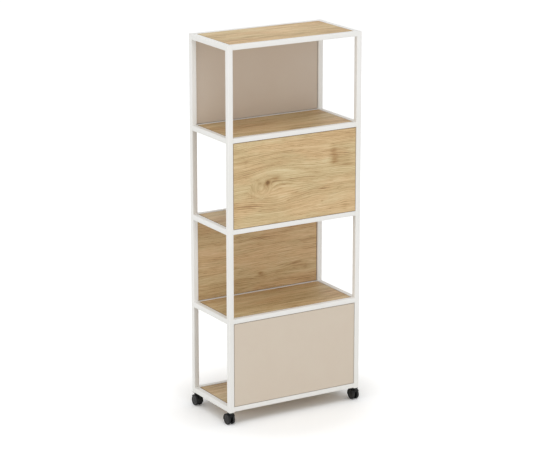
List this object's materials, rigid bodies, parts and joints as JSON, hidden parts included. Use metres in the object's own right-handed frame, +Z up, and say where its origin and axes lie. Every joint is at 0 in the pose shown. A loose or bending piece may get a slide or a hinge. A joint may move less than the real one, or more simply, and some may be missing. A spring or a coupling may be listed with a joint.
{
  "type": "mobile bookcase",
  "caption": "Tall double-sided bookcase on swivel casters: square-tube frame, flush shelves and upright panels closing alternate faces of its bays.",
  "frame": {"origin": "on the floor, under the middle of the case", "axes": "+X along the width, to the right as seen from the front; +Y through the depth, from front to back; +Z up"},
  "size_m": [0.7102, 0.355, 1.765],
  "materials": {
    "frame_white": "white satin powder coat on steel tube",
    "oak_decor": "knotty oak decor on board, matt, grain along the width",
    "beige_decor": "plain beige laminate on board, matt",
    "caster_black": "black moulded nylon",
    "wheel_black": "black moulded nylon wheel",
    "steel": "bright zinc-plated steel"
  },
  "bodies": {
    "root": {"post_front_left": "frame_white", "post_front_right": "frame_white", "post_back_left": "frame_white", "post_back_right": "frame_white", "rail_front_1": "frame_white", "rail_back_1": "frame_white", "rail_left_1": "frame_white", "rail_right_1": "frame_white", "rail_front_2": "frame_white", "rail_back_2": "frame_white", "rail_left_2": "frame_white", "rail_right_2": "frame_white", "rail_front_3": "frame_white", "rail_back_3": "frame_white", "rail_left_3": "frame_white", "rail_right_3": "frame_white", "rail_front_4": "frame_white", "rail_back_4": "frame_white", "rail_left_4": "frame_white", "rail_right_4": "frame_white", "rail_front_5": "frame_white", "rail_back_5": "frame_white", "rail_left_5": "frame_white", "rail_right_5": "frame_white", "shelf_1": "oak_decor", "shelf_2": "oak_decor", "shelf_3": "oak_decor", "shelf_4": "oak_decor", "top_board": "oak_decor", "panel_front_bay_1": "beige_decor", "panel_back_bay_2": "oak_decor", "panel_front_bay_3": "oak_decor", "panel_back_bay_4": "beige_decor", "caster_front_left_plug": "caster_black", "caster_front_left_stem": "steel", "caster_front_right_plug": "caster_black", "caster_front_right_stem": "steel", "caster_back_left_plug": "caster_black", "caster_back_left_stem": "steel", "caster_back_right_plug": "caster_black", "caster_back_right_stem": "steel"},
    "swivel_front_left": {"caster_front_left_hood": "caster_black", "caster_front_left_axle": "steel"},
    "wheel_front_left_left": {"caster_front_left_wheel_left": "wheel_black"},
    "wheel_front_left_right": {"caster_front_left_wheel_right": "wheel_black"},
    "swivel_front_right": {"caster_front_right_hood": "caster_black", "caster_front_right_axle": "steel"},
    "wheel_front_right_left": {"caster_front_right_wheel_left": "wheel_black"},
    "wheel_front_right_right": {"caster_front_right_wheel_right": "wheel_black"},
    "swivel_back_left": {"caster_back_left_hood": "caster_black", "caster_back_left_axle": "steel"},
    "wheel_back_left_left": {"caster_back_left_wheel_left": "wheel_black"},
    "wheel_back_left_right": {"caster_back_left_wheel_right": "wheel_black"},
    "swivel_back_right": {"caster_back_right_hood": "caster_black", "caster_back_right_axle": "steel"},
    "wheel_back_right_left": {"caster_back_right_wheel_left": "wheel_black"},
    "wheel_back_right_right": {"caster_back_right_wheel_right": "wheel_black"}
  },
  "joints": [
    {"name": "swivel_front_left", "type": "hinge", "parent": "root", "child": "swivel_front_left", "pos_m": [-0.3375, -0.165, 0.04], "axis": [0, 0, 1], "continuous": true},
    {"name": "spin_front_left_left", "type": "hinge", "parent": "swivel_front_left", "child": "wheel_front_left_left", "pos_m": [-0.3375, -0.152, 0.024], "axis": [1, 0, 0], "continuous": true},
    {"name": "spin_front_left_right", "type": "hinge", "parent": "swivel_front_left", "child": "wheel_front_left_right", "pos_m": [-0.3375, -0.152, 0.024], "axis": [1, 0, 0], "continuous": true},
    {"name": "swivel_front_right", "type": "hinge", "parent": "root", "child": "swivel_front_right", "pos_m": [0.3375, -0.165, 0.04], "axis": [0, 0, 1], "continuous": true},
    {"name": "spin_front_right_left", "type": "hinge", "parent": "swivel_front_right", "child": "wheel_front_right_left", "pos_m": [0.3375, -0.152, 0.024], "axis": [1, 0, 0], "continuous": true},
    {"name": "spin_front_right_right", "type": "hinge", "parent": "swivel_front_right", "child": "wheel_front_right_right", "pos_m": [0.3375, -0.152, 0.024], "axis": [1, 0, 0], "continuous": true},
    {"name": "swivel_back_left", "type": "hinge", "parent": "root", "child": "swivel_back_left", "pos_m": [-0.3375, 0.165, 0.04], "axis": [0, 0, 1], "continuous": true},
    {"name": "spin_back_left_left", "type": "hinge", "parent": "swivel_back_left", "child": "wheel_back_left_left", "pos_m": [-0.3375, 0.152, 0.024], "axis": [1, 0, 0], "continuous": true},
    {"name": "spin_back_left_right", "type": "hinge", "parent": "swivel_back_left", "child": "wheel_back_left_right", "pos_m": [-0.3375, 0.152, 0.024], "axis": [1, 0, 0], "continuous": true},
    {"name": "swivel_back_right", "type": "hinge", "parent": "root", "child": "swivel_back_right", "pos_m": [0.3375, 0.165, 0.04], "axis": [0, 0, 1], "continuous": true},
    {"name": "spin_back_right_left", "type": "hinge", "parent": "swivel_back_right", "child": "wheel_back_right_left", "pos_m": [0.3375, 0.152, 0.024], "axis": [1, 0, 0], "continuous": true},
    {"name": "spin_back_right_right", "type": "hinge", "parent": "swivel_back_right", "child": "wheel_back_right_right", "pos_m": [0.3375, 0.152, 0.024], "axis": [1, 0, 0], "continuous": true}
  ]
}
